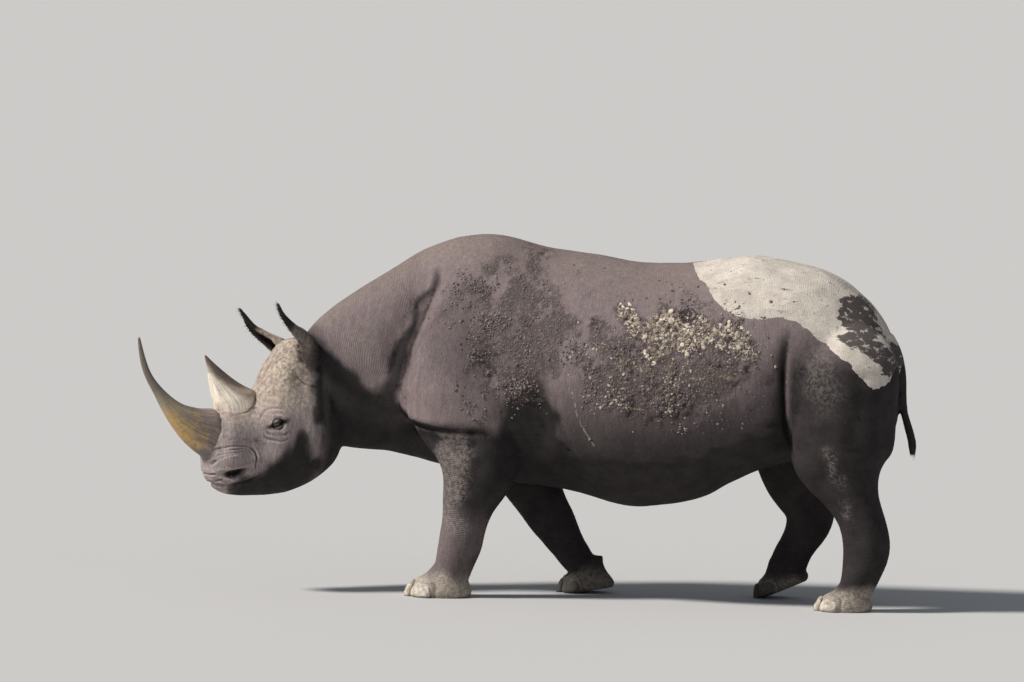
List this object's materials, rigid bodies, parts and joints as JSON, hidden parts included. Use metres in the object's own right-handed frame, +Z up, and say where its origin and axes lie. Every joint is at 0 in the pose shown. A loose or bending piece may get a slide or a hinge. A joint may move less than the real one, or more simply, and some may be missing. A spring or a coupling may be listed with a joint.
{
  "type": "black rhinoceros, life-size still model",
  "caption": "Life-size adult black rhinoceros in a slow walk: head low and turned to its left, hooked front horn, shorter rear horn, dried mud on its hide.",
  "frame": {"origin": "middle of the animal's bounding box, on the ground that it stands on", "axes": "-X is the way the animal walks, -Y is its left side, +Z is up"},
  "size_m": [3.3044, 1.0357, 1.5517],
  "materials": {
    "hide": "matt grey-brown skin with dried mud",
    "horn": "satin horn, ochre below and dark at the tip",
    "nail": "satin pale nail",
    "eye": "wet dark brown eye"
  },
  "bodies": {
    "root": {"trunk": "hide", "neck": "hide", "head": "hide", "ear_left": "hide", "ear_right": "hide", "eye_left": "eye", "eye_right": "eye", "horn_front": "horn", "horn_rear": "horn", "tail": "hide", "upper_leg_front_left": "hide", "lower_leg_front_left": "hide", "foot_front_left": "hide", "nail_front_left_1": "nail", "nail_front_left_2": "nail", "nail_front_left_3": "nail", "upper_leg_front_right": "hide", "lower_leg_front_right": "hide", "foot_front_right": "hide", "nail_front_right_1": "nail", "nail_front_right_2": "nail", "nail_front_right_3": "nail", "upper_leg_hind_left": "hide", "lower_leg_hind_left": "hide", "foot_hind_left": "hide", "nail_hind_left_1": "nail", "nail_hind_left_2": "nail", "nail_hind_left_3": "nail", "upper_leg_hind_right": "hide", "lower_leg_hind_right": "hide", "foot_hind_right": "hide", "nail_hind_right_1": "nail", "nail_hind_right_2": "nail", "nail_hind_right_3": "nail"}
  },
  "joints": []
}
